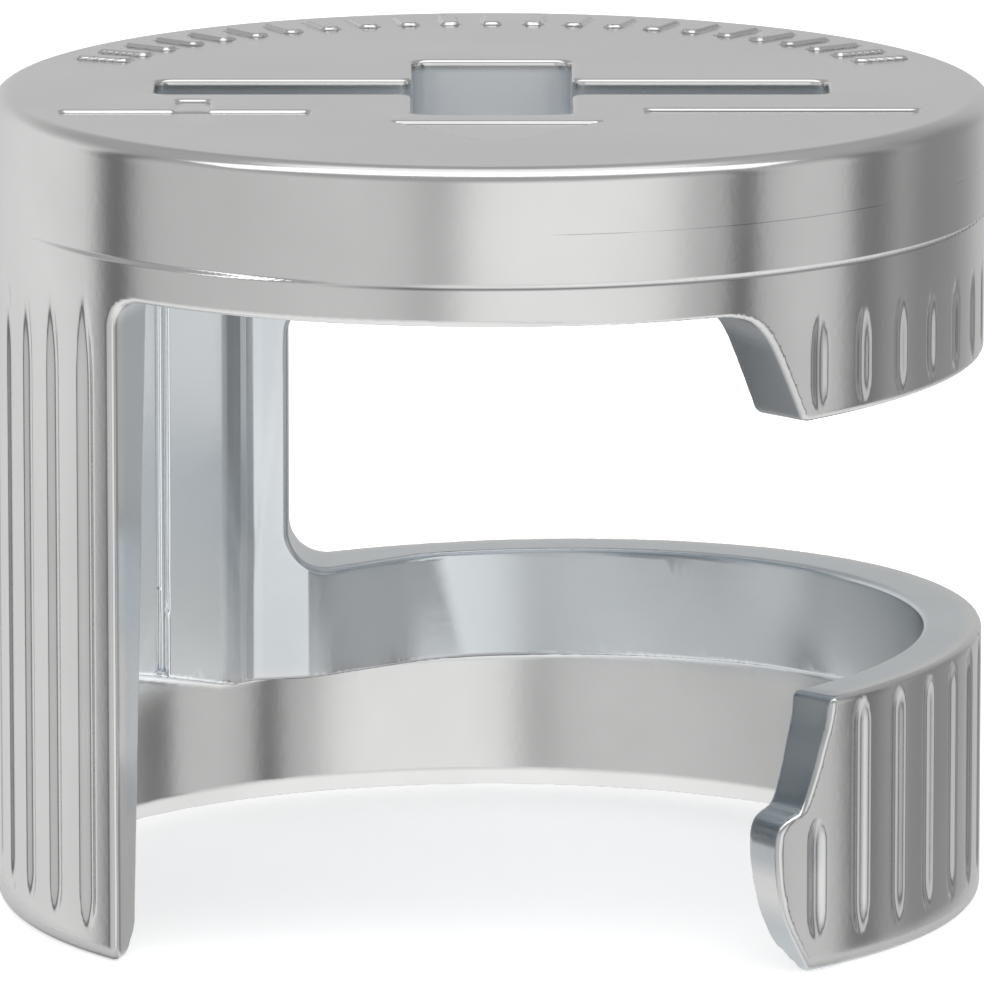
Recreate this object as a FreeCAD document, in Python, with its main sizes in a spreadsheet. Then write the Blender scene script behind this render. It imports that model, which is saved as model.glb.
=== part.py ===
# Eccentric cam housing of a furniture cam lock fitting: one zinc die casting.
# The round body stands on its foot ring, head up. The bolt head enters through the front
# window (-Y), the bolt's neck runs in the side slot, and the cross recess in the head turns it.
# Origin: centre of the foot, on the surface it stands on. +Z up, millimetres and degrees.
import FreeCAD, Part
import math
import os
import Sketcher

NODE = "cam_housing"

# Driving dimensions: alias, value, what it measures.
SIZES = [
    ("total_height", 12.3, "foot to top of the head"),
    ("head_radius", 7.5, "head disc, runs in a 15 mm bore"),
    ("head_band", 1.75, "height of the head disc's full-radius band"),
    ("rim_round", 0.27, "rounding of the head's top edge"),
    ("head_web", 2.27, "head thickness over the cavity"),
    ("head_step", 0.05, "drum's surface inside the head's"),
    ("foot_round", 0.15, "rounding of the foot's outer edge"),
    ("cavity_top_wall", 1.33, "drum wall at the ceiling"),
    ("cavity_low_wall", 0.69, "drum wall at the foot, drafted from the ceiling"),
    ("ceiling_round", 0.25, "corner between cavity wall and ceiling"),
    ("band_wall", 0.55, "drum wall beside the wider bore below the lip"),
    ("end_wall", 0.83, "thicker wall beside the window, below the lip"),
    ("hook_wall_end", 44.0, "where it ends behind the hook, from -Y towards +X"),
    ("column_wall_end", 52.0, "where it ends in the column, from -Y towards -X"),
    ("foot_chamfer_rise", 0.3, "height of the lead-in at the foot's inner edge"),
    ("foot_chamfer_run", 0.28, "radial width of that lead-in"),
    ("slot_tilt", 2.2, "lean of the neck slot, rising towards +X"),
    ("slot_floor", 3.9, "height of the slot's floor on the axis"),
    ("slot_height", 4.2, "clear height of the neck slot"),
    ("slot_end", 3.17, "closed end of the slot, left of the axis"),
    ("slot_floor_round", 0.66, "corner of floor and closed end"),
    ("slot_roof_round", 0.45, "corner of roof and closed end"),
    ("lip_height", 1.73, "height of the lip below the slot's floor"),
    ("ramp_wall", 0.955, "wall where the post's ramp leaves the lip"),
    ("ramp_angle", 10.2, "place of that point, from +Y towards -X"),
    ("post_near_wall", 1.35, "wall at the post's right corner"),
    ("post_near_angle", 28.2, "place of that corner"),
    ("post_far_wall", 0.746, "wall at the left end of the post's face"),
    ("post_far_angle", 36.6, "place of that end"),
    ("column_near_wall", 1.017, "wall at the right edge of the column's flat"),
    ("column_near_angle", 39.8, "place of that edge"),
    ("column_far_wall", 0.997, "wall at the left edge of the column's flat"),
    ("column_far_angle", 50.8, "place of that edge"),
    ("column_end_wall", 0.973, "wall where the flat's side strip ends"),
    ("column_end_angle", 57.3, "place of that end"),
    ("window_edge_angle", 47.2, "window's left edge on the drum, from -Y towards -X"),
    ("window_edge_flare", 12.5, "lean of the window's left face off the Y direction"),
    ("window_corner_round", 0.5, "top left corner of the window"),
    ("jaw_root_angle", 31.05, "jaw's end at the ceiling, from -Y towards +X"),
    ("jaw_tip_angle", 38.1, "jaw's end at the slot"),
    ("jaw_root_round", 0.95, "sweep between ceiling and jaw end"),
    ("ring_end_angle", 42.6, "ring's end at the slot floor"),
    ("hook_root_angle", 38.0, "ring's end where the hook begins"),
    ("hook_root_height", 2.42, "height of that inner corner"),
    ("hook_root_round", 0.25, "its rounding"),
    ("hook_tip_angle", 34.4, "free face of the hook"),
    ("hook_tip_height", 2.25, "upper corner of the free face"),
    ("hook_tip_round", 0.25, "its rounding"),
    ("hook_heel_height", 1.45, "lower corner of the free face"),
    ("hook_heel_round", 0.9, "its rounding"),
    ("hook_foot_angle", 39.2, "ring's end at the foot"),
    ("recess_depth", 1.5, "depth of the drive recess"),
    ("blade_length", 10.1, "slotted arm of the recess"),
    ("blade_width", 1.36, "width of that arm"),
    ("cross_length", 5.1, "short arm of the recess"),
    ("cross_width", 2.4, "width of that arm"),
    ("recess_corner_round", 0.25, "upright corners of the recess"),
    ("rib_cut_radius", 0.19, "radius of a groove's section"),
    ("rib_cut_offset", 0.07, "groove axis outside the drum's surface"),
    ("rib_pitch", 7.0, "angle between grooves"),
    ("rib_foot", 0.55, "lower end of the grooves"),
    ("rib_foot_taper", 0.5, "run-out length at the lower end"),
    ("rib_tip_taper", 1.3, "run-out length at the upper end of a long groove"),
    ("rib_short_taper", 0.55, "run-out length beside the slot"),
    ("rib_column_top", 9.95, "upper end of the long grooves"),
    ("rib_jaw_top", 9.8, "upper end of the jaw's grooves"),
    ("rib_slot_gap", 0.12, "groove ends clear of the slot's edges"),
    ("column_rib_start", 142.0, "first long groove, clockwise from +X"),
    ("column_rib_count", 14, "grooves round the column"),
    ("ring_rib_start", 42.5, "first ring groove, clockwise from +X"),
    ("ring_rib_count", 22, "grooves round the lower ring"),
    ("jaw_rib_start", 49.5, "first jaw groove, clockwise from +X"),
    ("jaw_rib_count", 23, "grooves round the jaw"),
]

# Radii that follow from the walls: alias, formula, what it measures.
RADII = [
    ("body_radius", "head_radius - head_step", "drum below the head"),
    ("cavity_top_radius", "body_radius - cavity_top_wall", "cavity at the ceiling"),
    ("cavity_low_radius", "body_radius - cavity_low_wall", "cavity at the foot"),
    ("band_radius", "body_radius - band_wall", "wider bore below the lip"),
    ("wall_middle_radius", "(body_radius + band_radius) / 2", "middle of the thin wall"),
    ("window_middle", "body_radius * 0.82", "distance in front at which the end faces' corners lie"),
]

# Reach of the cutting outlines past the solid.
OVERCUT = 1.0
# Distances in front of the axis at which the window's two outlines are drawn, in head radii.
WINDOW_OUTER = 1.2
WINDOW_INNER = 0.4
# Part of the slot's height by which the window's corners lie inside the slot.
SLOT_OVERLAP = 0.125
# Turn, in degrees, over which the wall beside the window thins by a millimetre.
WALL_RUN_OUT = 10


class Size:
    """A number together with the expression that binds it to the sheet."""

    def __init__(self, value, text):
        self.value = float(value)
        self.text = text

    def __add__(self, other):
        other = as_size(other)
        return Size(self.value + other.value, f"({self.text} + {other.text})")

    def __radd__(self, other):
        return as_size(other) + self

    def __sub__(self, other):
        other = as_size(other)
        return Size(self.value - other.value, f"({self.text} - {other.text})")

    def __rsub__(self, other):
        return as_size(other) - self

    def __mul__(self, other):
        other = as_size(other)
        return Size(self.value * other.value, f"({self.text} * {other.text})")

    def __rmul__(self, other):
        return as_size(other) * self

    def __truediv__(self, other):
        other = as_size(other)
        return Size(self.value / other.value, f"({self.text} / {other.text})")

    def __neg__(self):
        return Size(-self.value, f"(0 - {self.text})")


def as_size(number):
    """Wrap a plain number."""
    return number if isinstance(number, Size) else Size(number, f"({float(number)!r})")


def sine(angle):
    return Size(math.sin(math.radians(angle.value)), f"sin({angle.text})")


def cosine(angle):
    return Size(math.cos(math.radians(angle.value)), f"cos({angle.text})")


def tangent(angle):
    return Size(math.tan(math.radians(angle.value)), f"tan({angle.text})")


def root(size):
    return Size(math.sqrt(size.value), f"sqrt({size.text})")


def make_sheet(doc):
    """Put the driving dimensions in a spreadsheet and return them by name."""
    sheet = doc.addObject("Spreadsheet::Sheet", "dims")
    named = {}
    formulas = [(alias, f"={formula}", meaning) for alias, formula, meaning in RADII]
    rows = [(alias, str(value), meaning) for alias, value, meaning in SIZES] + formulas
    for row, (alias, entry, meaning) in enumerate(rows, start=1):
        sheet.set(f"A{row}", entry)
        sheet.setAlias(f"A{row}", alias)
        sheet.set(f"B{row}", meaning)
        doc.recompute()
    for alias, entry, meaning in rows:
        named[alias] = Size(sheet.get(alias), f"dims.{alias}")
    return named


def origin_feature(body, role):
    """The body's own origin plane or axis of that role."""
    for feature in body.Origin.OriginFeatures:
        if feature.Role == role:
            return feature
    raise ValueError(role)


def bind(target, prop, size):
    target.setExpression(prop, size.text)


def new_sketch(body, name, plane, offset=None, lean=None):
    """A sketch on an origin plane, moved by an (x, y, z) offset and leant about Y."""
    sketch = body.newObject("Sketcher::SketchObject", name)
    sketch.AttachmentSupport = [(origin_feature(body, plane), "")]
    sketch.MapMode = "FlatFace"
    base = offset or (0, 0, 0)
    place = FreeCAD.Placement()
    place.Base = FreeCAD.Vector(*[as_size(part).value for part in base])
    if lean is not None:
        place.Rotation = FreeCAD.Rotation(FreeCAD.Vector(0, 1, 0), lean.value)
    sketch.AttachmentOffset = place
    for axis, part in zip("xyz", base):
        if isinstance(part, Size):
            bind(sketch, f"AttachmentOffset.Base.{axis}", part)
    if lean is not None:
        bind(sketch, "AttachmentOffset.Rotation.Angle", lean)
    return sketch


def outline(sketch, corners, arcs=None):
    """A closed outline through corners whose coordinates are bound to the sheet.

    arcs maps an edge's first corner to (radius, centre x, centre y): that edge is an arc.
    """
    arcs = arcs or {}
    count = len(corners)
    place = [FreeCAD.Vector(x.value, y.value, 0) for x, y in corners]
    ends = []
    for index in range(count):
        first, last = place[index], place[(index + 1) % count]
        if index in arcs:
            radius, centre_x, centre_y = arcs[index]
            middle = FreeCAD.Vector(centre_x.value, centre_y.value, 0)
            start = math.atan2(first.y - middle.y, first.x - middle.x)
            stop = math.atan2(last.y - middle.y, last.x - middle.x)
            sweep = (stop - start) % (2 * math.pi)
            counter = sweep < math.pi
            circle = Part.Circle(middle, FreeCAD.Vector(0, 0, 1), radius.value)
            if counter:
                arc = Part.ArcOfCircle(circle, start, start + sweep)
            else:
                arc = Part.ArcOfCircle(circle, stop, stop + 2 * math.pi - sweep)
            edge = sketch.addGeometry(arc, False)
            ends.append((edge, 1, 2) if counter else (edge, 2, 1))
        else:
            edge = sketch.addGeometry(Part.LineSegment(first, last), False)
            ends.append((edge, 1, 2))
    for index in range(count):
        edge, begin, finish = ends[index]
        following, start, _ = ends[(index + 1) % count]
        sketch.addConstraint(Sketcher.Constraint("Coincident", edge, finish, following, start))
    for index, (x, y) in enumerate(corners):
        edge, begin, _ = ends[index]
        for kind, size in (("DistanceX", x), ("DistanceY", y)):
            number = sketch.addConstraint(Sketcher.Constraint(kind, -1, 1, edge, begin, size.value))
            bind(sketch, f"Constraints[{number}]", size)
    for index, (radius, _, _) in arcs.items():
        edge = ends[index][0]
        number = sketch.addConstraint(Sketcher.Constraint("Radius", edge, radius.value))
        bind(sketch, f"Constraints[{number}]", radius)


def rounded(doc, tag, corners, radii):
    """Replace the corners named in radii by tangent arcs; the layout set keeps the steps."""
    layout = doc.getObject("layout")
    softened, arcs = [], {}
    for index, (x, y) in enumerate(corners):
        if index not in radii:
            softened.append((x, y))
            continue

        def keep(step, size):
            name = f"{tag}_{index}_{step}"
            layout.addProperty("App::PropertyFloat", name)
            layout.setExpression(name, size.text)
            return Size(size.value, f"layout.{name}")

        radius = keep("radius", radii[index])
        x, y = keep("x", x), keep("y", y)
        before_x, before_y = corners[index - 1]
        after_x, after_y = corners[(index + 1) % len(corners)]
        back_x, back_y = keep("back_x", before_x - x), keep("back_y", before_y - y)
        on_x, on_y = keep("on_x", after_x - x), keep("on_y", after_y - y)
        back = keep("back", root(back_x * back_x + back_y * back_y))
        on = keep("on", root(on_x * on_x + on_y * on_y))
        bend = keep("bend", (back_x * on_x + back_y * on_y) / (back * on))
        run = keep("run", radius * root((1 + bend) / (1 - bend)))
        reach = keep("reach", radius / root(1 - bend * bend))
        centre_x = x + (back_x / back + on_x / on) * reach
        centre_y = y + (back_y / back + on_y / on) * reach
        arcs[len(softened)] = (radius, centre_x, centre_y)
        softened.append((x + back_x * run / back, y + back_y * run / back))
        softened.append((x + on_x * run / on, y + on_y * run / on))
    return softened, arcs


def make_blank(body, dim):
    """Drum, head disc and drafted cavity, turned about the axis."""
    sketch = new_sketch(body, "BlankSection", "XZ_Plane")
    zero = as_size(0)
    top = dim["total_height"]
    head_low = top - dim["head_band"]
    ceiling = top - dim["head_web"]
    rim = dim["rim_round"]
    foot = dim["foot_round"]
    head = dim["head_radius"]
    drum = dim["body_radius"]
    corner = dim["ceiling_round"]
    lead_in = dim["band_radius"] + dim["foot_chamfer_run"]
    lead_in_slope = dim["foot_chamfer_rise"] / dim["foot_chamfer_run"]
    lead_in_top = (lead_in - dim["cavity_low_radius"]) * lead_in_slope
    corners = [
        (lead_in, zero),
        (drum - foot, zero),
        (drum, foot),
        (drum, head_low),
        (head, head_low),
        (head, top - rim),
        (head - rim, top),
        (zero, top),
        (zero, ceiling),
        (dim["cavity_top_radius"] - corner, ceiling),
        (dim["cavity_top_radius"], ceiling - corner),
        (dim["cavity_low_radius"], lead_in_top),
    ]
    arcs = {
        1: (foot, drum - foot, foot),
        5: (rim, head - rim, top - rim),
        9: (corner, dim["cavity_top_radius"] - corner, ceiling - corner),
    }
    outline(sketch, corners, arcs)
    turned = body.newObject("PartDesign::Revolution", "Blank")
    turned.Profile = sketch
    turned.ReferenceAxis = (sketch, ["V_Axis"])
    turned.Angle = 360
    body.Document.recompute()
    return turned


def lip_plane(dim):
    """Height of the lip's underside on the axis."""
    return dim["slot_floor"] - dim["lip_height"]


def polar(radius, angle):
    """Point at an angle measured clockwise from -Y, seen from above, towards -X if negative."""
    return radius * sine(angle), -radius * cosine(angle)


def make_band(body, dim):
    """Wider bore below the lip, up to the lip's leaning underside, left out beside the window."""
    sketch = new_sketch(body, "BandPlan", "XY_Plane", (0, 0, lip_plane(dim)), -dim["slot_tilt"])
    zero = as_size(0)
    bore = dim["band_radius"]
    inner = dim["body_radius"] - dim["end_wall"]
    right, left = dim["hook_wall_end"], -dim["column_wall_end"]
    run_out = (bore - inner) * WALL_RUN_OUT
    third = (as_size(360) - right + left) / 3
    corners = [
        polar(bore, right + run_out),
        polar(inner, right),
        polar(inner, left),
        polar(bore, left - run_out),
        polar(bore, left - third),
        polar(bore, right + third),
    ]
    arcs = {3: (bore, zero, zero), 4: (bore, zero, zero), 5: (bore, zero, zero)}
    outline(sketch, corners, arcs)
    bored = body.newObject("PartDesign::Pocket", "Band")
    bored.Profile = sketch
    bored.UseCustomVector = True
    bored.Direction = FreeCAD.Vector(0, 0, -1)
    bored.Length = dim["slot_floor"].value
    bind(bored, "Length", dim["slot_floor"])
    body.Document.recompute()
    return bored


def post_faces(dim):
    """Corners of the upright faces in plan, from the ramp on the lip round to the column."""
    faces = []
    for name in ("ramp", "post_near", "post_far", "column_near", "column_far", "column_end"):
        radius = dim["body_radius"] - dim[name + "_wall"]
        x, y = polar(radius, dim[name + "_angle"])
        faces.append((-x, -y))
    return faces


def make_post(body, dim):
    """Post beside the slot and the column's flats, upright from the lip into the head."""
    low = lip_plane(dim)
    sketch = new_sketch(body, "PostPlan", "XY_Plane", (0, 0, low), -dim["slot_tilt"])
    zero = as_size(0)
    middle = dim["wall_middle_radius"]
    behind = []
    for angle in (dim["column_end_angle"], dim["ramp_angle"]):
        x, y = polar(middle, angle)
        behind.append((-x, -y))
    faces = post_faces(dim)
    outline(sketch, faces + behind, {len(faces): (middle, zero, zero)})
    post = body.newObject("PartDesign::Pad", "Post")
    post.Profile = sketch
    post.UseCustomVector = True
    post.Direction = FreeCAD.Vector(0, 0, 1)
    rise = dim["total_height"] - dim["head_web"] / 2 - low
    post.Length = rise.value
    bind(post, "Length", rise)
    body.Document.recompute()
    return post


def make_flats(body, dim):
    """Clear the drafted cavity wall in front of the post's face and the column's flats."""
    sketch = new_sketch(body, "FlatsPlan", "XY_Plane")
    faces = post_faces(dim)[1:]
    inside = dim["cavity_top_radius"] - 2 * dim["ceiling_round"]
    front = []
    for angle in (dim["column_end_angle"], dim["post_near_angle"]):
        x, y = polar(inside, angle)
        front.append((-x, -y))
    outline(sketch, faces + front)
    flats = body.newObject("PartDesign::Pocket", "Flats")
    flats.Profile = sketch
    flats.UseCustomVector = True
    flats.Direction = FreeCAD.Vector(0, 0, 1)
    rise = dim["total_height"] - dim["head_web"]
    flats.Length = rise.value
    bind(flats, "Length", rise)
    body.Document.recompute()
    return flats


def window_outline(body, dim, name, reach):
    """The window's outline in an upright plane at a distance in front of the axis."""
    sketch = new_sketch(body, name, "XZ_Plane", (0, 0, reach))
    floor = dim["slot_floor"]
    roof = floor + dim["slot_height"]
    ceiling = dim["total_height"] - dim["head_web"]
    below = as_size(-OVERCUT)
    lean = tangent(dim["window_edge_flare"])
    edge_x, edge_y = polar(dim["body_radius"], dim["window_edge_angle"])
    left = -edge_x - (reach + edge_y) * lean

    def across(angle):
        return reach * tangent(angle)

    def carried_on(angle_a, high_a, angle_b, high_b, height):
        """Angle at a height on the straight line through two points of an end face."""
        return angle_a + (angle_b - angle_a) * (height - high_a) / (high_b - high_a)

    inside_roof = roof - dim["slot_height"] * SLOT_OVERLAP
    inside_floor = floor + dim["slot_height"] * SLOT_OVERLAP
    jaw_tip = carried_on(dim["jaw_root_angle"], ceiling, dim["jaw_tip_angle"], roof, inside_roof)
    ring_top = carried_on(dim["hook_root_angle"], dim["hook_root_height"],
                          dim["ring_end_angle"], floor, inside_floor)
    foot = carried_on(dim["hook_tip_angle"], dim["hook_heel_height"],
                      dim["hook_foot_angle"], as_size(0), below)
    corners = [
        (left, below),
        (across(foot), below),
        (across(dim["hook_tip_angle"]), dim["hook_heel_height"]),
        (across(dim["hook_tip_angle"]), dim["hook_tip_height"]),
        (across(dim["hook_root_angle"]), dim["hook_root_height"]),
        (across(ring_top), inside_floor),
        (across(jaw_tip), inside_roof),
        (across(dim["jaw_root_angle"]), ceiling),
        (left, ceiling),
    ]
    fan = reach / dim["window_middle"]
    radii = {
        2: dim["hook_heel_round"],
        3: dim["hook_tip_round"] * fan,
        4: dim["hook_root_round"] * fan,
        7: dim["jaw_root_round"] * fan,
        8: dim["window_corner_round"],
    }
    corners, arcs = rounded(body.Document, name, corners, radii)
    outline(sketch, corners, arcs)
    return sketch


def make_window(body, dim):
    """Front window: every side face fans out from the axis, the left one leans less."""
    inner = window_outline(body, dim, "WindowInner", dim["head_radius"] * WINDOW_INNER)
    outer = window_outline(body, dim, "WindowOuter", dim["head_radius"] * WINDOW_OUTER)
    window = body.newObject("PartDesign::SubtractiveLoft", "Window")
    window.Profile = inner
    window.Sections = [outer]
    window.Ruled = True
    body.Document.recompute()
    return window


def make_slot(body, dim):
    """Neck slot, from its closed end at the back left round to the window."""
    sketch = new_sketch(body, "SlotSection", "XZ_Plane")
    lean = tangent(dim["slot_tilt"])
    end = -dim["slot_end"]
    far = dim["head_radius"] + OVERCUT
    floor = dim["slot_floor"]
    roof = floor + dim["slot_height"]
    low, high = dim["slot_floor_round"], dim["slot_roof_round"]
    slant, upright = sine(dim["slot_tilt"]), cosine(dim["slot_tilt"])
    low_z = floor + (end + low) * lean + low / upright
    high_z = roof + (end + high) * lean - high / upright
    corners = [
        (end, low_z),
        (end + low + low * slant, low_z - low * upright),
        (far, floor + far * lean),
        (far, roof + far * lean),
        (end + high - high * slant, high_z + high * upright),
        (end, high_z),
    ]
    outline(sketch, corners, {0: (low, end + low, low_z), 4: (high, end + high, high_z)})
    slot = body.newObject("PartDesign::Pocket", "Slot")
    slot.Profile = sketch
    slot.Midplane = True
    slot.Length = 4 * dim["head_radius"].value
    bind(slot, "Length", 4 * dim["head_radius"])
    body.Document.recompute()
    return slot


def make_recess(body, dim):
    """Cross recess for a flat or crosshead driver."""
    sketch = new_sketch(body, "RecessPlan", "XY_Plane", (0, 0, dim["total_height"]))
    blade_x, blade_y = dim["blade_length"] / 2, dim["blade_width"] / 2
    cross_x, cross_y = dim["cross_width"] / 2, dim["cross_length"] / 2
    corners = [
        (blade_x, -blade_y), (blade_x, blade_y),
        (cross_x, blade_y), (cross_x, cross_y),
        (-cross_x, cross_y), (-cross_x, blade_y),
        (-blade_x, blade_y), (-blade_x, -blade_y),
        (-cross_x, -blade_y), (-cross_x, -cross_y),
        (cross_x, -cross_y), (cross_x, -blade_y),
    ]
    radii = {index: dim["recess_corner_round"] for index in range(len(corners))}
    corners, arcs = rounded(body.Document, "recess", corners, radii)
    outline(sketch, corners, arcs)
    recess = body.newObject("PartDesign::Pocket", "Recess")
    recess.Profile = sketch
    recess.Length = dim["recess_depth"].value
    bind(recess, "Length", dim["recess_depth"])
    body.Document.recompute()
    return recess


def make_groove(body, dim, name, start, low, high, low_taper, high_taper, count):
    """One spindle-shaped groove in the drum's surface, repeated round the axis."""
    axis_radius = dim["body_radius"] + dim["rib_cut_offset"]
    place = (axis_radius * cosine(start), 0, axis_radius * sine(start))
    sketch = new_sketch(body, name + "Section", "XZ_Plane", place)
    zero = as_size(0)
    deep = dim["rib_cut_radius"]
    outline(sketch, [(zero, low), (deep, low + low_taper), (deep, high - high_taper), (zero, high)])
    cut = body.newObject("PartDesign::Groove", name)
    cut.Profile = sketch
    cut.ReferenceAxis = (sketch, ["V_Axis"])
    cut.Angle = 360
    cut.Refine = False
    body.Document.recompute()
    if count is None:
        return cut
    pattern = body.newObject("PartDesign::PolarPattern", name + "s")
    pattern.Originals = [cut]
    pattern.Axis = (origin_feature(body, "Z_Axis"), [""])
    pattern.Reversed = start.value > 90
    spread = (count - 1) * dim["rib_pitch"]
    pattern.Angle = spread.value
    bind(pattern, "Angle", spread)
    pattern.Occurrences = int(count.value)
    bind(pattern, "Occurrences", count)
    pattern.Refine = False
    body.Tip = pattern
    body.Document.recompute()
    return pattern


def make_grooves(body, dim):
    """Grooves of the column, the lower ring and the jaw, and the short one on the hook."""
    low, gap = dim["rib_foot"], dim["rib_slot_gap"]
    floor = dim["slot_floor"]
    roof = floor + dim["slot_height"]
    lean = tangent(dim["slot_tilt"])
    across = dim["body_radius"] * cosine(dim["jaw_rib_start"])
    ring_top = floor + across * lean - gap
    jaw_low = roof + across * lean + gap
    foot, tip, short = dim["rib_foot_taper"], dim["rib_tip_taper"], dim["rib_short_taper"]
    make_groove(body, dim, "ColumnGroove", dim["column_rib_start"], low, dim["rib_column_top"],
                foot, tip, dim["column_rib_count"])
    make_groove(body, dim, "RingGroove", dim["ring_rib_start"], low, ring_top,
                foot, short, dim["ring_rib_count"])
    make_groove(body, dim, "JawGroove", dim["jaw_rib_start"], jaw_low, dim["rib_jaw_top"],
                short, short, dim["jaw_rib_count"])
    return make_groove(body, dim, "HookGroove", dim["jaw_rib_start"], low,
                       dim["hook_tip_height"], foot, foot, None)


def check(doc, body):
    """Stop unless every object computed and the body is one valid solid."""
    for thing in doc.Objects:
        if "Invalid" in thing.State or "Error" in thing.State:
            raise RuntimeError(f"{thing.Name} failed: {thing.State}")
    shape = body.Shape
    if shape.isNull() or not shape.isValid() or len(shape.Solids) != 1:
        raise RuntimeError(f"{body.Label} is not one valid solid")


def main():
    doc = FreeCAD.newDocument("cam_lock")
    dim = make_sheet(doc)
    doc.addObject("App::VarSet", "layout")
    body = doc.addObject("PartDesign::Body", NODE)
    body.Label = NODE
    make_blank(body, dim)
    make_band(body, dim)
    make_post(body, dim)
    make_flats(body, dim)
    make_window(body, dim)
    make_slot(body, dim)
    make_recess(body, dim)
    make_grooves(body, dim)
    doc.recompute()
    check(doc, body)
    os.makedirs("parts", exist_ok=True)
    body.Shape.exportStep(f"parts/{NODE}.step")


main()
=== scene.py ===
# Looks of the furniture cam lock fitting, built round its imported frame.
# The casting's skin is worked out as a distance field in millimetres, meshed, and set in metres.
import math

import bpy
import numpy as np
import openvdb
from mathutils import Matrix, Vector


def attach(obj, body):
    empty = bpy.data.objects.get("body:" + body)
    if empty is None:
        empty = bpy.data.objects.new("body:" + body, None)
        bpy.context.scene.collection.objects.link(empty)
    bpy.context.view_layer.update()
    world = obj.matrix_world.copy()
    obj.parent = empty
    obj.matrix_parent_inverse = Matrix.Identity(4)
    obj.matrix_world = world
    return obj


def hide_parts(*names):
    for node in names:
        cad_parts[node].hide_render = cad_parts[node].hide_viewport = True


NODE = "cam_housing"
MM = 0.001

# The casting in millimetres. Angles are in degrees unless a math call turns them to radians.
# The sizes are those of the CAD source. The step's rise, the drum's shift and swell, the lip's
# climb, the nub, the marks, the ticks and the soft edges are only here.
TOTAL_HEIGHT = 12.3
HEAD_RADIUS = 7.5
HEAD_LOW = 10.57
STEP_RISE = 0.08
RIM_ROUND = 0.27
DRUM_RADIUS = 7.45
DRUM_SHIFT = (-0.046, -0.012)
# Swell: height, middle in degrees from the front towards +X, and spread.
DRUM_SWELL = (0.085, -40.0, 27.0)
FOOT_ROUND = 0.22
CEILING = 10.03
CAVITY_TOP = 6.12
CAVITY_DRAFT = math.atan(0.64 / 9.73)
BAND_RADIUS = 6.9
LEAD_IN = 7.18
LEAD_IN_SLOPE = math.atan(0.28 / 0.3)
TILT = math.radians(2.2)
SLOT_FLOOR = 3.9
SLOT_ROOF = 8.1
SLOT_END = -3.17
SLOT_CORNERS = (0.66, 0.45)
LIP_UNDERSIDE = 2.17
# The lip's climb: height per degree, angles where it starts and falls back, and its run.
LIP_CLIMB = (0.03, 128, 150, 18)
WALL_MIDDLE = 7.175
# Lip wall and the post's ramp in plan, from right to left.
RAMP = [
    (0.7, 6.80), (0.1, 6.71), (-0.4, 6.61), (-0.8, 6.49), (-1.22, 6.34), (-1.6, 6.13),
    (-2.06, 5.85), (-2.5, 5.59), (-2.88, 5.42),
]
# Upright faces from there round to the column; the last ones are the fine ridges that the
# moulding core left beside the column's flat.
POST_FACES = [
    (-3.78, 5.38), (-4.14, 4.93), (-5.0, 4.16), (-5.03, 4.23), (-5.07, 4.10), (-5.12, 4.07),
    (-5.15, 4.14), (-5.18, 4.03), (-5.75, 3.52),
]
NUB = (-5.1, 4.07, 2.39)
NUB_RADIUS = 0.11
# Window: a point of its left side, the side's flare, how far back it reaches, its corner.
WINDOW_LEFT = (-5.5, -5.1)
WINDOW_FLARE = math.radians(14.5)
WINDOW_BACK = -1.0
WINDOW_CORNER = 0.5
CEILING_ROUND = 0.22
# Radius on which the outline of the ends of jaw and ring is laid out.
PROFILE_RADIUS = 7.1
BLADE = (5.05, 0.68)
CROSS = (1.2, 2.55)
RECESS_FLOOR = 10.8
RECESS_CORNER = 0.25
RECESS_EDGE = 0.06
GROOVE_AXIS = 7.57
GROOVE_PITCH = 7.0
# Rings of grooves: first angle, count, low end, high end, taper at each, girth. An end in a
# tuple is a height above the leaning slot's level on the axis.
GROOVES = [
    (-233.0, 14, 0.38, 10.3, 0.6, 1.7, 0.20),
    (-42.5, 22, 0.38, (SLOT_FLOOR - 0.03,), 0.6, 0.5, 0.20),
    (-49.5, 23, (SLOT_ROOF + 0.05,), 9.95, 0.5, 0.7, 0.17),
    (-49.5, 1, 0.42, 2.38, 0.6, 0.5, 0.19),
]
# Raised ticks on the head: first angle, pitch and count.
TICK_RING = (24.0, 6.0, 23)
TICK_RADIUS = 6.45
TICK_HALF = (0.13, 0.42)
TICK_HEIGHT = 0.05
TICK_CORNER = 0.08
TICK_FILLET = 0.04
MARK_DEPTH = 0.045
MARK_CORNER = 0.1
# Bars of plus and minus: middle x and y, half length and half width, slope of the floor.
MARK_BARS = [
    (-4.55, -2.45, 1.85, 0.25, 0.12),
    (-4.45, -2.45, 0.25, 1.24, 0.025),
    (4.3, -2.3, 2.03, 0.25, 0.12),
]
# Pointer: middle x, far side's y, tip's y, slope of the floor.
POINTER = (0.08, -3.2, -5.2, 0.03)
POINTER_SIDE = (0.80, 0.60)
# Degrees from the front between which the wall under the lip stays thick.
THICK_WALL = (-53.0, 45.0)
EDGE = 0.1
SOFT_EDGE = 0.05
FINE_EDGE = 0.03
# Round edge of the window: at its left and top, and at the ends of jaw and ring; the first
# turns into the second between x = 0 and this x.
EDGES = (0.15, 0.08)
EDGE_CHANGE = 1.5

# Tones of the metal, and the height of the fine seam on the head's side.
OUTER_TONES = [(0.3, (0.665, 0.665, 0.66)), (0.7, (0.725, 0.725, 0.72))]
# The inner tones are cooler as cast, and darker as painted shade of the hollow.
INNER_SHADED_TONES = [(0.3, (0.60, 0.635, 0.66)), (0.7, (0.67, 0.705, 0.73))]
# Painted shade: darker tones on the ends of ring and jaw, where they reflect the shaded hollow.
RING_END_SHADE = (0.50, 0.53, 0.55, 1.0)
JAW_END_SHADE = (0.19, 0.205, 0.215, 1.0)
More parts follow.
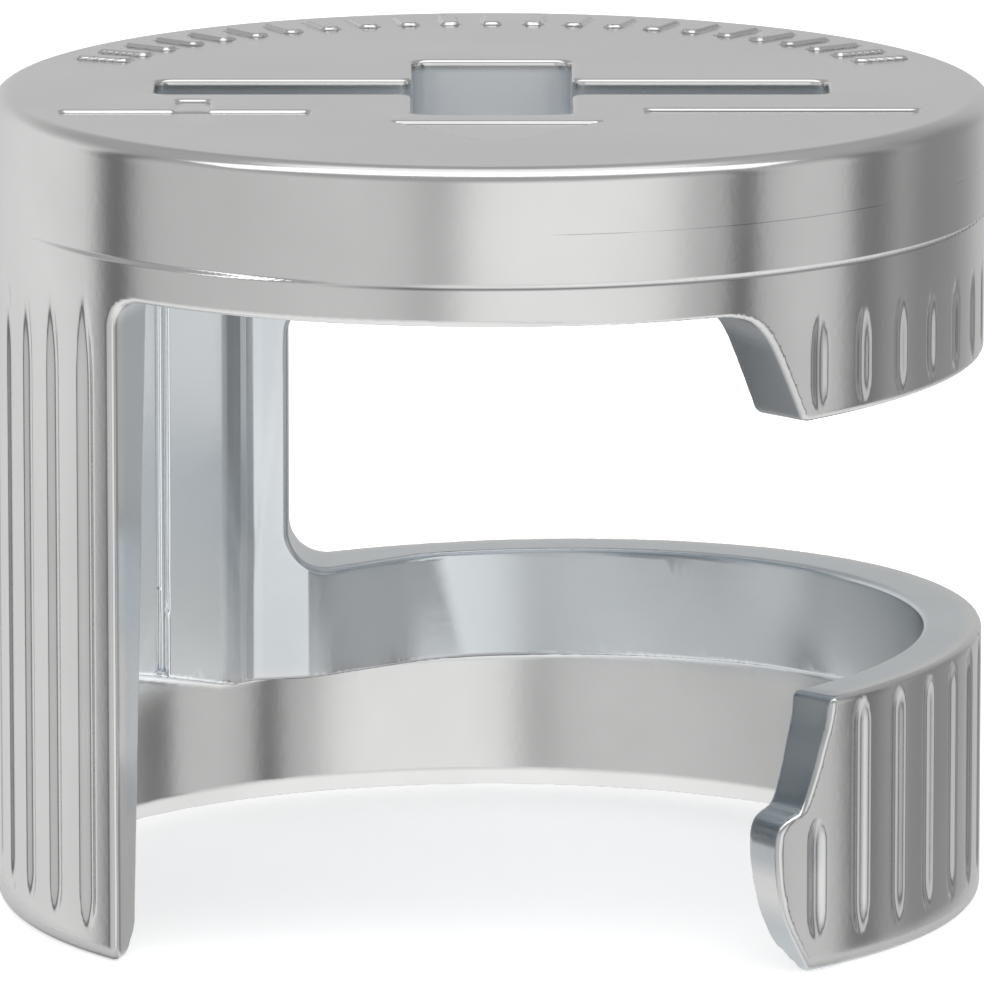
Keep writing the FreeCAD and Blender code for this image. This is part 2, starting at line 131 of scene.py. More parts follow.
# Painted light: a pale tone on the recess's middle, where light from above falls.
RECESS_MIDDLE_LIGHT = (0.80, 0.82, 0.84, 1.0)
# Painted light: a pale tone on the column's flat, standing in for the bright light it reflects.
FLAT_PAINTED_LIGHT = (0.89, 0.92, 0.94, 1.0)
# Painted shade in the corners of the step and under the lip, in the same tone as the head's thin
# seam line.
SEAM_AND_SHADE_TONE = (0.10, 0.10, 0.105, 1.0)
SEAM_HEIGHT = 11.33

# Grid points along each side of a block of the distance field.
BLOCK = 4
# Step of the field's grid in millimetres, and the most faces that the mesh keeps.
FULL_MESH = (0.06, 190000)
FAR_AWAY = 1e9

# Ends of jaw and ring seen on the drum: degrees from the front towards +X, and height.
JAW_END = [
    (20.0, 10.03), (26.5, 10.03), (28.5, 9.99), (30.5, 9.88), (32.0, 9.73), (33.4, 9.50),
    (34.9, 9.13), (36.5, 8.70), (38.1, 8.25),
]
RING_END = [
    (42.7, 4.25), (42.2, 3.78), (41.1, 3.39), (40.1, 3.03), (39.1, 2.73), (38.5, 2.57),
    (37.8, 2.46), (36.6, 2.40), (35.5, 2.32), (34.8, 2.20), (34.45, 2.02), (34.4, 1.78),
    (34.6, 1.50), (35.0, 1.20), (35.6, 0.92), (36.6, 0.63), (37.7, 0.38), (38.9, 0.12),
    (41.0, -0.4),
]


def both(first, second, edge):
    """Distance field of the overlap of two forms, its meeting edge rounded."""
    over = np.maximum(first + edge, 0)
    other = np.maximum(second + edge, 0)
    return np.minimum(np.maximum(first, second), -edge) + np.hypot(over, other)


def either(first, second, fillet):
    """Distance field of two forms joined, with a fillet between them."""
    under = np.maximum(fillet - first, 0)
    other = np.maximum(fillet - second, 0)
    return np.maximum(np.minimum(first, second), fillet) - np.hypot(under, other)


def less(body, tool, edge):
    """Distance field of a body with a tool's form cut out of it."""
    return both(body, -tool, edge)


def box_field(across, along, half_across, half_along, corner):
    """Rounded rectangle."""
    out_across = np.abs(across) - half_across + corner
    out_along = np.abs(along) - half_along + corner
    outside = np.hypot(np.maximum(out_across, 0), np.maximum(out_along, 0))
    return outside + np.minimum(np.maximum(out_across, out_along), 0) - corner


def turned(radius, angle, first, pitch, count):
    """Position of a point beside the nearest of count features spread round the axis.

    Returns the sideways and outward coordinates in millimetres and the feature's own angle.
    """
    index = np.clip(np.round((angle - first) / pitch), 0, count - 1)
    own = first + index * pitch
    turn = np.radians(angle - own)
    return radius * np.sin(turn), radius * np.cos(turn), own


def soft_line(points, parts):
    """Catmull-Rom line through the given points."""
    points = np.array(points, float)
    padded = np.vstack([2 * points[0] - points[1], points, 2 * points[-1] - points[-2]])
    line = []
    for index in range(len(points) - 1):
        before, start, end, after = padded[index:index + 4]
        for step in range(parts):
            t = step / parts
            line.append(0.5 * (2 * start + (end - before) * t
                               + (2 * before - 5 * start + 4 * end - after) * t * t
                               + (3 * start - before - 3 * end + after) * t ** 3))
    line.append(points[-1])
    return line


def end_outline():
    """Closed outline of the window side of the jaw's and the ring's ends."""
    line = [(-60.0, 14.0), (20.0, 14.0)] + soft_line(JAW_END, 3) + soft_line(RING_END, 3)
    line.append((41.0, -3.0))
    line.append((-60.0, -3.0))
    line = np.array(line, float)
    line[:, 0] = np.radians(line[:, 0]) * PROFILE_RADIUS
    return line


END_OUTLINE = end_outline()


def outline_field(line, across, along):
    """Signed distance to a closed outline, negative inside."""
    nearest = np.full(across.shape, FAR_AWAY)
    inside = np.zeros(across.shape, bool)
    count = len(line)
    for index in range(count):
        x0, y0 = line[index]
        x1, y1 = line[(index + 1) % count]
        dx, dy = x1 - x0, y1 - y0
        part = np.clip(((across - x0) * dx + (along - y0) * dy) / (dx * dx + dy * dy), 0, 1)
        nearest = np.minimum(nearest, np.hypot(across - x0 - part * dx, along - y0 - part * dy))
        if y0 != y1:
            crosses = (y0 > along) != (y1 > along)
            inside ^= crosses & (across < x0 + (along - y0) / dy * dx)
    return np.where(inside, -nearest, nearest)


def softened(points, cuts):
    """Open line with its inner corners rounded off over a length on each side."""
    points = np.array(points, float)
    line = [points[0]]
    for index in range(1, len(points) - 1):
        corner = points[index]
        before = points[index - 1] - corner
        after = points[index + 1] - corner
        back, on = np.linalg.norm(before), np.linalg.norm(after)
        start = corner + before / back * min(cuts[index], back * 0.45)
        end = corner + after / on * min(cuts[index], on * 0.45)
        for t in (0.0, 0.33, 0.67, 1.0):
            line.append((1 - t) ** 2 * start + 2 * t * (1 - t) * corner + t * t * end)
    return line + [points[-1]]


def wall_point(degrees_back):
    """Point in the middle of the thin wall, at an angle from +Y towards -X."""
    turn = math.radians(degrees_back)
    return -WALL_MIDDLE * math.sin(turn), WALL_MIDDLE * math.cos(turn)


FACE_LINE = softened(RAMP[-1:] + POST_FACES, (0.0, 0.2, 0.2) + (0.02,) * 7)
POST_PLAN = soft_line(RAMP, 4) + FACE_LINE[1:]
POST_PLAN += [wall_point(degrees) for degrees in (63.0, 48.0, 32.0, 16.0, 0.0, -5.6)]
FLATS_PLAN = FACE_LINE + [(-5.2, 2.6), (-2.5, 4.6)]


def hollow(x, y, z, radius):
    """Cavity and front window."""
    cone = (radius - CAVITY_TOP - (CEILING - z) * math.tan(CAVITY_DRAFT)) * math.cos(CAVITY_DRAFT)
    lean = math.tan(WINDOW_FLARE)
    left = (WINDOW_LEFT[0] - (WINDOW_LEFT[1] - y) * lean - x) * math.cos(WINDOW_FLARE)
    left = both(left, z - CEILING, WINDOW_CORNER)
    run = np.arctan2(x, -y)
    right = (run - math.radians(36)) * PROFILE_RADIUS
    near = (y < 0) & (radius > 5.4) & (np.abs(run - math.radians(35)) < math.radians(18))
    right[near] = outline_field(END_OUTLINE, run[near] * PROFILE_RADIUS, z[near])
    wedge = np.maximum(np.maximum(left, right), y - WINDOW_BACK)
    walls = -both(-cone, -wedge, EDGE)
    return both(walls, z - CEILING, CEILING_ROUND)


def slot_field(x, z):
    """Neck slot, leaning, closed at its left end."""
    floor = (SLOT_FLOOR + x * math.tan(TILT) - z) * math.cos(TILT)
    roof = (z - SLOT_ROOF - x * math.tan(TILT)) * math.cos(TILT)
    end = SLOT_END - x
    return np.maximum(both(end, floor, SLOT_CORNERS[0]), both(end, roof, SLOT_CORNERS[1]))


def under_lip(x, y, z):
    """Distance above the lip's underside, which climbs towards the column."""
    angle = np.degrees(np.arctan2(y, x))
    steepness, start, turn, run = LIP_CLIMB
    climb = steepness * (np.clip(angle - start, 0, run) - np.clip(angle - turn, 0, run))
    return (z - LIP_UNDERSIDE - x * math.tan(TILT) - climb) * math.cos(TILT)


def add_post(body, x, y, z):
    """Join the post and the column's flats to the body, upright from the lip to the head."""
    near = (x < 1.5) & (y > 2.0) & (np.hypot(x, y) > 4.0)
    px, py, pz = x[near], y[near], z[near]
    kept = body[near]
    pocket = outline_field(FLATS_PLAN, px, py)
    kept = less(kept, np.maximum(pocket, pz - CEILING), FINE_EDGE)
    post = outline_field(POST_PLAN, px, py)
    post = both(np.maximum(post, pz - CEILING - 0.5), -under_lip(px, py, pz), SOFT_EDGE)
    kept = either(kept, post, FINE_EDGE)
    nub = np.sqrt((px - NUB[0]) ** 2 + (py - NUB[1]) ** 2 + (pz - NUB[2]) ** 2) - NUB_RADIUS
    body[near] = either(kept, nub, FINE_EDGE)
    return body


def recess_field(x, y, z):
    """Cross recess of the head."""
    blade = box_field(x, y, *BLADE, RECESS_CORNER)
    cross = box_field(x, y, *CROSS, RECESS_CORNER)
    return both(either(blade, cross, 0.2), RECESS_FLOOR - z, 0.15)


def marks_field(x, y, z):
    """Turning marks sunk in the head, deepest at their far edges: plus, minus and the pointer."""
    forms = []
    for middle_x, middle_y, half_x, half_y, slope in MARK_BARS:
        bar = box_field(x - middle_x, y - middle_y, half_x, half_y, MARK_CORNER)
        forms.append((bar, middle_y + half_y, slope))
    middle, far, tip, slope = POINTER
    side = np.abs(x - middle) * POINTER_SIDE[0] - (y - tip) * POINTER_SIDE[1]
    forms.append((np.maximum(y - far, side), far, slope))
    sunk = np.full(z.shape, FAR_AWAY)
    for form, far, slope in forms:
        floor = TOTAL_HEIGHT - MARK_DEPTH + (far - y) * slope
        sunk = np.minimum(sunk, both(form, floor - z, 0.02))
    return sunk


def ticks_field(radius, angle, z):
    """Short raised ticks round the back half of the head."""
    across, along, _ = turned(radius, angle, *TICK_RING)
    tick = box_field(across, along - TICK_RADIUS, *TICK_HALF, TICK_CORNER)
    return both(tick, np.abs(z - TOTAL_HEIGHT) - TICK_HEIGHT, FINE_EDGE)


def groove_field(radius, angle, z, first, count, low, high, low_taper, high_taper, girth):
    """Spindle-shaped grooves spread round the drum."""
    across, along, own = turned(radius, angle, first, GROOVE_PITCH, count)
    lift = DRUM_RADIUS * np.cos(np.radians(own)) * math.tan(TILT)
    bottom = low if isinstance(low, float) else low[0] + lift
    top = high if isinstance(high, float) else high[0] + lift
    up, down = (z - bottom) / low_taper, (top - z) / high_taper
    full = np.minimum(np.clip(up, 0, 1), np.clip(down, 0, 1))
    full = full * (2 - full)
    section = girth * np.where((up < down) | (high_taper < 1), np.sqrt(full), full)
    past = np.maximum(np.maximum(bottom - z, z - top), 0)
    return np.hypot(np.hypot(across, along - GROOVE_AXIS), past) - section


def housing(x, y, z):
    """Distance field of the whole casting; arrays of coordinates in millimetres."""
    radius = np.hypot(x, y)
    drum_x, drum_y = x - DRUM_SHIFT[0], y - DRUM_SHIFT[1]
    front = np.degrees(np.arctan2(x, -y))
    swell, place, spread = DRUM_SWELL
    drum_radius = np.hypot(drum_x, drum_y) - swell * np.exp(-((front - place) / spread) ** 2)
    drum_angle = np.degrees(np.arctan2(drum_y, drum_x))
    rise = np.clip((z - HEAD_LOW) / STEP_RISE + 0.5, 0, 1)
    rise = rise * rise * (3 - 2 * rise)
    wall = (drum_radius - DRUM_RADIUS) * (1 - rise) + (radius - HEAD_RADIUS) * rise
    body = both(both(wall, -z, FOOT_ROUND), z - TOTAL_HEIGHT, RIM_ROUND)
    edge = EDGES[0] + (EDGES[1] - EDGES[0]) * np.clip(x / EDGE_CHANGE, 0, 1)
    body = less(body, hollow(x, y, z, radius), edge)
    body = add_post(body, x, y, z)
    body = less(body, slot_field(x, z), EDGE)
    thick = np.minimum(front - THICK_WALL[0], THICK_WALL[1] - front) * radius * math.pi / 180
    band = both(radius - BAND_RADIUS, under_lip(x, y, z), EDGE)
    body = less(body, both(band, thick, EDGE), SOFT_EDGE)
    lead_in = (radius - LEAD_IN + z * math.tan(LEAD_IN_SLOPE)) * math.cos(LEAD_IN_SLOPE)
    body = less(body, lead_in, FINE_EDGE)
    for first, count, low, high, low_taper, high_taper, girth in GROOVES:
        angle = (drum_angle - first + 90) % 360 + first - 90
        groove = groove_field(drum_radius, angle, z, first, count, low, high, low_taper,
                              high_taper, girth)
        body = less(body, groove, SOFT_EDGE)
    body = less(body, recess_field(x, y, z), RECESS_EDGE)
    body = less(body, marks_field(x, y, z), SOFT_EDGE)
    angle = np.degrees(np.arctan2(y, x))
    return either(body, ticks_field(radius, angle, z), TICK_FILLET)


def slope_at(points, away):
    """Gradient of the housing's field at points."""
    slope = np.empty_like(points)
    for axis in range(3):
        shift = np.zeros(3)
        shift[axis] = away
        ahead, behind = housing(*(points + shift).T), housing(*(points - shift).T)
        slope[:, axis] = (ahead - behind) / (2 * away)
    return slope


def settle(points, most):
    """Bring points onto the surface, none moving further than most."""
    start = points.copy()
    for _ in range(3):
        value = housing(*points.T)
        slope = slope_at(points, 0.004)
        size = np.maximum((slope ** 2).sum(1), 0.2)
        points = points - slope * (value / size)[:, None]
    moved = points - start
    length = np.linalg.norm(moved, axis=1)
    return start + moved * np.minimum(1, most / np.maximum(length, 1e-9))[:, None]


def field_mesh(step):
    """Points and four-sided faces of the housing's skin on a grid of the given step.

    The field is worked out only in the blocks of the grid that the skin may cross. The grid's
    lowest height puts one row of points on the step under the head.
    """
    low = np.array([-7.787, -7.793, -0.26])
    blocks = np.ceil((np.array([7.8, 7.8, 12.6]) - low) / (step * BLOCK)).astype(int)
    most = 3 * step
    index = np.stack(np.meshgrid(*[np.arange(count) for count in blocks], indexing="ij"), -1)
    index = index.reshape(-1, 3)
    middle = low + step * (BLOCK * index + (BLOCK - 1) / 2)
    rough = housing(*middle.T)
    values = np.where(rough > 0, most, -most).astype(np.float32).reshape(blocks)
    for axis in range(3):
        values = np.repeat(values, BLOCK, axis)
    crossed = index[np.abs(rough) < 1.5 * step * BLOCK]
    inner = np.stack(np.meshgrid(*[np.arange(BLOCK)] * 3, indexing="ij"), -1).reshape(-1, 3)
    for chunk in np.array_split(crossed, max(1, len(crossed) // 4000)):
        cell = (chunk[:, None, :] * BLOCK + inner).reshape(-1, 3)
        field = housing(*(low + step * cell).T)
        values[cell[:, 0], cell[:, 1], cell[:, 2]] = np.clip(field, -most, most)
    grid = openvdb.FloatGrid(most)
    grid.copyFromArray(values)
    points, faces = grid.convertToQuads(isovalue=0.0)
    return np.asarray(points, float) * step + low, np.asarray(faces)


def make_mesh(name, points, faces):
    """Blender mesh, in metres, from points in millimetres and faces of one size."""
    sides = faces.shape[1]
    mesh = bpy.data.meshes.new(name)
    mesh.vertices.add(len(points))
    mesh.vertices.foreach_set("co", (points * MM).astype(np.float32).ravel())
    mesh.loops.add(faces.size)
    mesh.loops.foreach_set("vertex_index", faces.astype(np.int32).ravel())
    mesh.polygons.add(len(faces))
    mesh.polygons.foreach_set("loop_start", np.arange(0, faces.size, sides, dtype=np.int32))
    mesh.update(calc_edges=True)
    mesh.validate()
    return mesh


def outward(points, faces):
    """Faces in the order that makes their normals point out."""
    corner = points[faces]
    normal = np.cross(corner[:, 1] - corner[:, 0], corner[:, 2] - corner[:, 0])
    volume = (corner[:, 0] * normal).sum()
    return faces if volume > 0 else faces[:, ::-1]


def build_housing(step, most_faces):
    """The casting as one closed mesh with its own smooth normals."""
    points, faces = field_mesh(step)
    points = settle(points, step * 0.7)
    dense = make_mesh("dense", points, outward(points, faces))
    piece = bpy.data.objects.new("cam_casting", dense)
    bpy.context.scene.collection.objects.link(piece)
    thin = piece.modifiers.new("thin", "DECIMATE")
    thin.ratio = min(1.0, most_faces / (2 * len(faces)))
    graph = bpy.context.evaluated_depsgraph_get()
    mesh = bpy.data.meshes.new_from_object(piece.evaluated_get(graph))
    piece.modifiers.clear()
    piece.data = mesh
    bpy.data.meshes.remove(dense)
    mesh.name = "cam_casting"
    flat = np.empty(len(mesh.vertices) * 3, np.float32)
    mesh.vertices.foreach_get("co", flat)
    points = settle(flat.reshape(-1, 3).astype(float) / MM, step)
    mesh.vertices.foreach_set("co", (points * MM).astype(np.float32).ravel())
    mesh.polygons.foreach_set("use_smooth", np.ones(len(mesh.polygons), bool))
    mesh.update()
    normals = slope_at(points, 0.02)
    normals /= np.linalg.norm(normals, axis=1)[:, None]
    mesh.normals_split_custom_set_from_vertices(normals.tolist())
    return piece


def link(tree, source, target):
    tree.links.new(source, target)


def math_node(tree, operation, first, second=None, third=None):
    """A Math node; each input is a socket or a number."""
    node = tree.nodes.new("ShaderNodeMath")
    node.operation = operation
    for index, value in enumerate((first, second, third)):
        if value is None:
            continue
        if isinstance(value, (int, float)):
            node.inputs[index].default_value = value
        else:
            link(tree, value, node.inputs[index])
    return node.outputs[0]


def noise(tree, vector, scale, detail, rough=0.5):
    node = tree.nodes.new("ShaderNodeTexNoise")
    node.inputs["Scale"].default_value = scale
    node.inputs["Detail"].default_value = detail
    node.inputs["Roughness"].default_value = rough
    link(tree, vector, node.inputs["Vector"])
    return node.outputs["Fac"]


def ramp(tree, value, stops):
    """Colour ramp; stops are (place, grey) or (place, (r, g, b))."""
    node = tree.nodes.new("ShaderNodeValToRGB")
    while len(node.color_ramp.elements) < len(stops):
        node.color_ramp.elements.new(0.5)
    for element, (place, colour) in zip(node.color_ramp.elements, stops):
        element.position = place
        colour = colour if isinstance(colour, tuple) else (colour,) * 3
        element.color = (*colour, 1.0)
    link(tree, value, node.inputs["Fac"])
    return node.outputs["Color"]


def reach(tree, value, start, end):
    """Value mapped from 0 at start to 1 at end, held between."""
    node = tree.nodes.new("ShaderNodeMapRange")
    node.inputs["From Min"].default_value = start
    node.inputs["From Max"].default_value = end
    link(tree, value, node.inputs["Value"])
    return node.outputs["Result"]


def mix(tree, share, first, second, blend="MIX"):
    """Mixed colour; the share is a socket or a number, each colour a socket or a tuple."""
    node = tree.nodes.new("ShaderNodeMix")
    node.data_type = "RGBA"
    node.blend_type = blend
    if isinstance(share, float):
        node.inputs["Factor"].default_value = share
    else:
        link(tree, share, node.inputs["Factor"])
    for name, value in (("A", first), ("B", second)):
        if isinstance(value, tuple):
            node.inputs[name].default_value = value
        else:
            link(tree, value, node.inputs[name])
    return node.outputs["Result"]


def product(tree, *values):
    """Product of several sockets or numbers."""
    result = values[0]
    for value in values[1:]:
        result = math_node(tree, "MULTIPLY", result, value)
    return result


def thin_line(tree, height, level, width, strength):
    """Mask of a thin level line."""
    off = math_node(tree, "ABSOLUTE", math_node(tree, "SUBTRACT", height, level))
    return math_node(tree, "MULTIPLY", reach(tree, off, width, 0.0), strength)


def seam_and_shade_mask(tree, up, across, cloud, deep):
    """Painted shade in the corner of the step, the head's seam, and painted shade in the corner
    under the lip.

    The corner's painted shade runs from the front round the right; the seam is on the right half
    only.
    """
    corner = thin_line(tree, up, (HEAD_LOW - 0.035) * MM, 0.035 * MM, 0.85)
    corner = product(tree, corner, reach(tree, across, -2.6 * MM, -1.2 * MM))
    seam = thin_line(tree, up, SEAM_HEIGHT * MM, 0.012 * MM, 0.45)
    seam = product(tree, seam, reach(tree, across, 0.8 * MM, 1.2 * MM),
                   reach(tree, cloud, 0.40, 0.50))
    level = math_node(tree, "MULTIPLY_ADD", across, -math.tan(TILT), up)
    lip = thin_line(tree, level, (LIP_UNDERSIDE + 0.02) * MM, 0.06 * MM, 0.8)
    lip = product(tree, lip, reach(tree, across, -4.2 * MM, -3.8 * MM),
                  reach(tree, across, 2.5 * MM, 0.5 * MM), deep)
    return math_node(tree, "MAXIMUM", math_node(tree, "MAXIMUM", corner, seam), lip)


def bump(tree, height, strength, distance, normal=None):
    node = tree.nodes.new("ShaderNodeBump")
    node.inputs["Strength"].default_value = strength
    node.inputs["Distance"].default_value = distance
    link(tree, height, node.inputs["Height"])
    if normal is not None:
        link(tree, normal, node.inputs["Normal"])
    return node.outputs["Normal"]


def zinc_material():
    """Zinc die casting: rumbled bright outside, matt and cooler as cast inside, and darker inside
    as painted shade.

    The ends of jaw and ring are darker as painted shade, and the column's flat and the recess's
    middle are paler as painted light.
    """
    material = bpy.data.materials.new("zinc_alloy")
    material.use_nodes = True
    tree = material.node_tree
    shader = tree.nodes["Principled BSDF"]
    place = tree.nodes.new("ShaderNodeTexCoord").outputs["Object"]
    cloud = noise(tree, place, 420.0, 4.0)
    grain = noise(tree, place, 9000.0, 2.0)
    pits = noise(tree, place, 3200.0, 3.0, 0.6)
    parts = tree.nodes.new("ShaderNodeSeparateXYZ")
    link(tree, place, parts.inputs[0])
    across, along, up = (parts.outputs[axis] for axis in "XYZ")
    squares = math_node(tree, "ADD", math_node(tree, "MULTIPLY", across, across),
                        math_node(tree, "MULTIPLY", along, along))
    radius = math_node(tree, "SQRT", squares)
    deep = reach(tree, radius, 7.30 * MM, 7.10 * MM)
    below = reach(tree, up, 12.20 * MM, 12.10 * MM)
    above = reach(tree, up, 2.0 * MM, 2.3 * MM)
    inside = product(tree, deep, below, above)

    outer = ramp(tree, cloud, OUTER_TONES)
    # The inside's tone is partly the as-cast finish and partly painted shade.
    inner = ramp(tree, cloud, INNER_SHADED_TONES)
    colour = mix(tree, inside, outer, inner)

    # Painted shade: the ends of jaw and ring take darker tones, the jaw's end the darkest.
    turn = math_node(tree, "ARCTAN2", across, math_node(tree, "MULTIPLY", along, -1.0))
    nose = math_node(tree, "MAXIMUM", reach(tree, up, 1.45 * MM, 1.75 * MM),
                     reach(tree, up, 1.2 * MM, 0.7 * MM))
    ends = product(tree, reach(tree, turn, math.radians(27), math.radians(29)),
                   reach(tree, turn, math.radians(46), math.radians(44)),
                   reach(tree, radius, 7.42 * MM, 7.32 * MM),
                   reach(tree, up, 10.40 * MM, 10.20 * MM), nose)
    tone = mix(tree, reach(tree, up, 6.0 * MM, 6.2 * MM), RING_END_SHADE, JAW_END_SHADE)
    colour = mix(tree, ends, colour, tone)

    recess = product(tree, inside, reach(tree, up, 10.3 * MM, 10.6 * MM))
    middle = product(tree, recess, reach(tree, math_node(tree, "ABSOLUTE", across),
                                         1.30 * MM, 0.75 * MM))
    # Painted light: the recess's middle is paler, as well as less metallic.
    colour = mix(tree, middle, colour, RECESS_MIDDLE_LIGHT)
    # Painted light: the column's flat is paler.
    flats = product(tree, inside, reach(tree, across, -4.1 * MM, -4.2 * MM),
                    reach(tree, along, 2.5 * MM, 3.0 * MM))
    colour = mix(tree, flats, colour, FLAT_PAINTED_LIGHT)
    # Painted shade in the corners of the step and under the lip, and the head's seam line.
    colour = mix(tree, seam_and_shade_mask(tree, up, across, cloud, deep), colour, SEAM_AND_SHADE_TONE)
    link(tree, colour, shader.inputs["Base Color"])
    link(tree, math_node(tree, "MULTIPLY_ADD", middle, -0.75, 1.0), shader.inputs["Metallic"])

    rough = math_node(tree, "MULTIPLY_ADD", cloud, 0.06, 0.13)
    rough = math_node(tree, "MULTIPLY_ADD", inside, 0.06, rough)
    rough = math_node(tree, "MULTIPLY_ADD", recess, 0.20, rough)
    link(tree, rough, shader.inputs["Roughness"])
    fine = bump(tree, grain, 0.10, 0.000004)
    link(tree, bump(tree, pits, 0.12, 0.00001, fine), shader.inputs["Normal"])
    return material


# Brightness of the studio wall round the fitting: degrees from the camera towards +X, strength.
STUDIO = [
    (-180, 0.60), (-150, 0.80), (-122, 0.90), (-106, 0.84), (-102, 0.48), (-99, 0.16), (-93, 0.16),
    (-89, 0.50), (-84, 0.63), (-60, 0.69), (-30, 0.75), (-20, 0.70), (-13, 0.54), (-9, 0.62),
    (-3, 0.98), (8, 1.08), (34, 1.02), (41, 0.92), (47, 0.64), (55, 0.54), (58, 0.14), (62, 0.14),
    (65, 0.60), (76, 0.72), (88, 0.70), (93, 0.22), (100, 0.22), (108, 0.44), (118, 0.30),
    (136, 0.34), (156, 0.58), (180, 0.60),
]
# Going up, from 0 below to 1 overhead: where the wall's bands give way to plain grey, and how
# bright it is.
STUDIO_PLAIN = [(0.22, 1.0), (0.35, 0.0), (0.64, 0.0), (0.80, 1.0)]
STUDIO_HEIGHT = [
    (0.0, 1.9), (0.2, 1.5), (0.35, 1.0), (0.62, 1.0), (0.78, 0.7), (0.93, 0.8), (0.97, 2.0),
]
# Half the floor's side in metres, and its glow for the camera.
FLOOR_HALF = 0.6
FLOOR_GLOW = 0.55
# Height in metres that the lamp faces.
AIM_HEIGHT = 0.006


def studio_world():
    """Soft studio surroundings: a banded wall seen in reflections, white to the camera."""
    world = bpy.data.worlds.new("studio")
    bpy.context.scene.world = world
    world.use_nodes = True
    tree = world.node_tree
    tree.nodes.clear()
    way = tree.nodes.new("ShaderNodeTexCoord").outputs["Generated"]
    parts = tree.nodes.new("ShaderNodeSeparateXYZ")
    link(tree, way, parts.inputs[0])
    ahead = math_node(tree, "MULTIPLY", parts.outputs["Y"], -1.0)
    turn = math_node(tree, "ARCTAN2", parts.outputs["X"], ahead)
    turn = math_node(tree, "MULTIPLY_ADD", turn, 0.5 / math.pi, 0.5)
    stops = [((angle + 180) / 360, bright) for angle, bright in STUDIO]
    wall = ramp(tree, turn, stops)
    high = math_node(tree, "MULTIPLY_ADD", parts.outputs["Z"], 0.5, 0.5)
    wall = mix(tree, ramp(tree, high, STUDIO_PLAIN), wall, (0.62, 0.62, 0.62, 1.0))
    light = tree.nodes.new("ShaderNodeBackground")
    link(tree, mix(tree, 1.0, wall, ramp(tree, high, STUDIO_HEIGHT), "MULTIPLY"),
         light.inputs["Color"])
    plain = tree.nodes.new("ShaderNodeBackground")
    plain.inputs["Color"].default_value = (1.0, 1.0, 1.0, 1.0)
    rays = tree.nodes.new("ShaderNodeLightPath")
    choose = tree.nodes.new("ShaderNodeMixShader")
    link(tree, rays.outputs["Is Camera Ray"], choose.inputs["Fac"])
    link(tree, light.outputs[0], choose.inputs[1])
    link(tree, plain.outputs[0], choose.inputs[2])
    output = tree.nodes.new("ShaderNodeOutputWorld")
    link(tree, choose.outputs[0], output.inputs["Surface"])


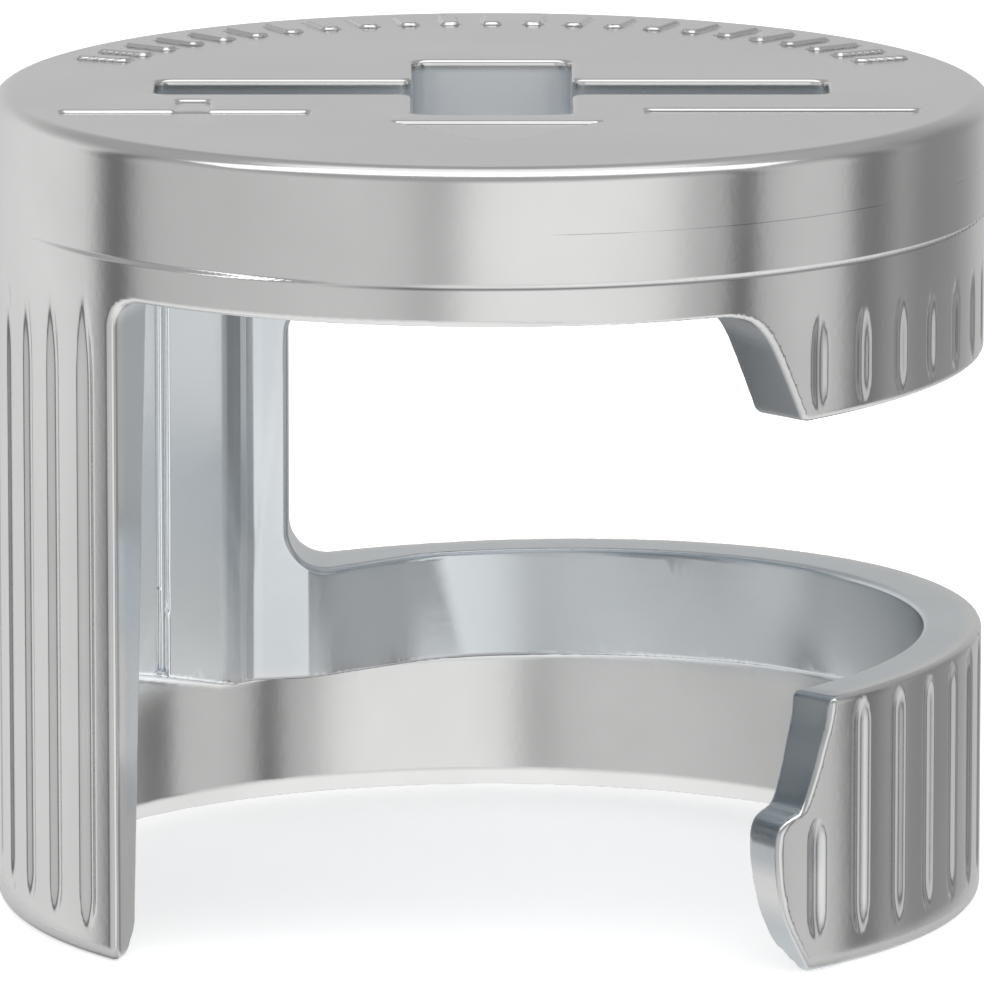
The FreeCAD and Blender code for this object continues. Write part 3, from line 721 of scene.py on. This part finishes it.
def studio_floor():
    """White floor: keeps the soft shadow and lets reflections reach the studio's surroundings.

    Mirror rays meet it only in a narrow ring round the foot, which gives the contact's tone.
    """
    corners = [(-1, -1), (1, -1), (1, 1), (-1, 1)]
    mesh = bpy.data.meshes.new("floor")
    mesh.from_pydata([(x * FLOOR_HALF, y * FLOOR_HALF, 0) for x, y in corners],
                     [], [(0, 1, 2, 3)])
    floor = bpy.data.objects.new("floor", mesh)
    bpy.context.scene.collection.objects.link(floor)
    material = bpy.data.materials.new("floor_white")
    material.use_nodes = True
    tree = material.node_tree
    tree.nodes.clear()
    matt = tree.nodes.new("ShaderNodeBsdfDiffuse")
    matt.inputs["Color"].default_value = (0.95, 0.95, 0.95, 1.0)
    glow = tree.nodes.new("ShaderNodeEmission")
    rays = tree.nodes.new("ShaderNodeLightPath")
    place = tree.nodes.new("ShaderNodeTexCoord").outputs["Object"]
    length = tree.nodes.new("ShaderNodeVectorMath")
    length.operation = "LENGTH"
    link(tree, place, length.inputs[0])
    radius = length.outputs["Value"]
    away = math_node(tree, "MAXIMUM", reach(tree, radius, 7.4 * MM, 7.3 * MM),
                     reach(tree, radius, 7.7 * MM, 8.3 * MM))
    link(tree, math_node(tree, "MULTIPLY", rays.outputs["Is Camera Ray"], FLOOR_GLOW),
         glow.inputs["Strength"])
    seen = tree.nodes.new("ShaderNodeAddShader")
    link(tree, matt.outputs[0], seen.inputs[0])
    link(tree, glow.outputs[0], seen.inputs[1])
    clear = tree.nodes.new("ShaderNodeBsdfTransparent")
    choose = tree.nodes.new("ShaderNodeMixShader")
    link(tree, math_node(tree, "MULTIPLY", rays.outputs["Is Glossy Ray"], away),
         choose.inputs["Fac"])
    link(tree, seen.outputs[0], choose.inputs[1])
    link(tree, clear.outputs[0], choose.inputs[2])
    output = tree.nodes.new("ShaderNodeOutputMaterial")
    link(tree, choose.outputs[0], output.inputs["Surface"])
    mesh.materials.append(material)


def area_light(name, place, size, power):
    """Soft lamp that faces the fitting."""
    data = bpy.data.lights.new(name, "AREA")
    data.shape = "RECTANGLE"
    data.size, data.size_y = size
    data.energy = power
    lamp = bpy.data.objects.new(name, data)
    bpy.context.scene.collection.objects.link(lamp)
    lamp.location = place
    aim = Vector((0, 0, AIM_HEIGHT)) - Vector(place)
    lamp.rotation_euler = aim.to_track_quat("-Z", "Y").to_euler()


def place_camera():
    """Camera at the photograph's viewing angle."""
    elevation = 0.1930
    distance = 0.18051
    target = Vector((0.000006, 0.0, 0.006104))
    data = bpy.data.cameras.new("camera")
    data.sensor_width = 36.0
    data.lens = 437.4
    data.clip_start = 0.01
    camera = bpy.data.objects.new("camera", data)
    bpy.context.scene.collection.objects.link(camera)
    camera.location = target + Vector((0, -math.cos(elevation), math.sin(elevation))) * distance
    camera.rotation_euler = (math.pi / 2 - elevation, 0, 0)
    bpy.context.scene.camera = camera


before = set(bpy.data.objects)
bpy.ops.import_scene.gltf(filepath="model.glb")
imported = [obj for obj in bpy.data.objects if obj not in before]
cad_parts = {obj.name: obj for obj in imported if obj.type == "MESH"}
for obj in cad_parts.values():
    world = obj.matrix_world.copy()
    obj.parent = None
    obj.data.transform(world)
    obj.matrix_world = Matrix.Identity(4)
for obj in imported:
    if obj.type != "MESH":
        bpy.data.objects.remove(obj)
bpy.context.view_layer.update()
bpy.context.scene.view_settings.view_transform = "Standard"

casting = build_housing(*FULL_MESH)
casting.data.materials.clear()
casting.data.materials.append(zinc_material())
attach(casting, "root")
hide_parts(NODE)

studio_world()
studio_floor()
area_light("key", (0.0, -0.11, 0.35), (0.90, 0.17), 0.6)
place_camera()
